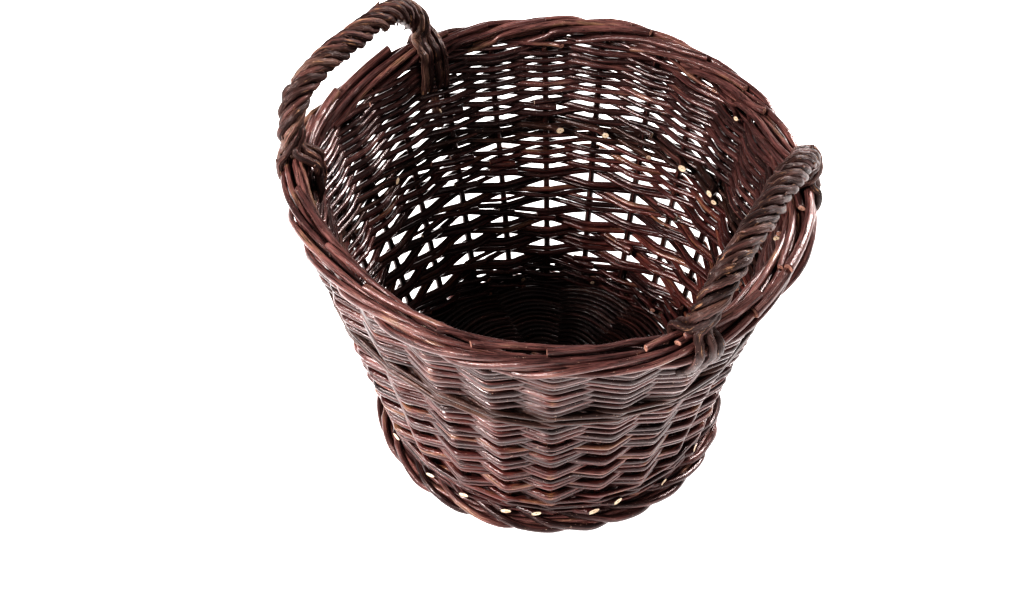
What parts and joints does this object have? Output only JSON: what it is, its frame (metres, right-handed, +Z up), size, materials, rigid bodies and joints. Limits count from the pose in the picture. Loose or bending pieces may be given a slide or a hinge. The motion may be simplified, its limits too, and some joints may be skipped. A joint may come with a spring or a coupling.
{
  "type": "woven wicker basket",
  "caption": "Round open basket woven from dark unpeeled willow rods, with a flared see-through wall, a thick rod border and roped handles on opposite sides of the rim.",
  "frame": {"origin": "centre of the foot border's circle, on the plane that the basket rests on", "axes": "+Z up out of the open mouth; the two handles stand over +X and -X"},
  "size_m": [0.4499, 0.45, 0.378],
  "materials": {
    "stake_rod": "satin",
    "base_rod": "satin",
    "foot_rod": "satin",
    "border_rod": "satin",
    "wale_rod": "satin",
    "siding_rod": "satin",
    "handle_rod": "matte"
  },
  "bodies": {
    "root": {"base_split_stick_1": "base_rod", "base_split_stick_2": "base_rod", "base_split_stick_3": "base_rod", "base_through_stick_1": "base_rod", "base_through_stick_2": "base_rod", "base_through_stick_3": "base_rod", "base_weave": "base_rod", "border": "border_rod", "foot_border": "foot_rod", "left_handle_back_lashing": "handle_rod", "left_handle_bow": "handle_rod", "left_handle_front_lashing": "handle_rod", "left_handle_rope": "handle_rod", "lower_siding": "siding_rod", "mid_wale": "wale_rod", "right_handle_back_lashing": "handle_rod", "right_handle_bow": "handle_rod", "right_handle_front_lashing": "handle_rod", "right_handle_rope": "handle_rod", "stake_01": "stake_rod", "stake_02": "stake_rod", "stake_03": "stake_rod", "stake_04": "stake_rod", "stake_05": "stake_rod", "stake_06": "stake_rod", "stake_07": "stake_rod", "stake_08": "stake_rod", "stake_09": "stake_rod", "stake_10": "stake_rod", "stake_11": "stake_rod", "stake_12": "stake_rod", "stake_13": "stake_rod", "stake_14": "stake_rod", "stake_15": "stake_rod", "stake_16": "stake_rod", "stake_17": "stake_rod", "stake_18": "stake_rod", "stake_19": "stake_rod", "stake_20": "stake_rod", "stake_21": "stake_rod", "stake_22": "stake_rod", "stake_23": "stake_rod", "stake_24": "stake_rod", "top_wale": "wale_rod", "upper_siding": "siding_rod", "upset_wale": "wale_rod"}
  },
  "joints": []
}
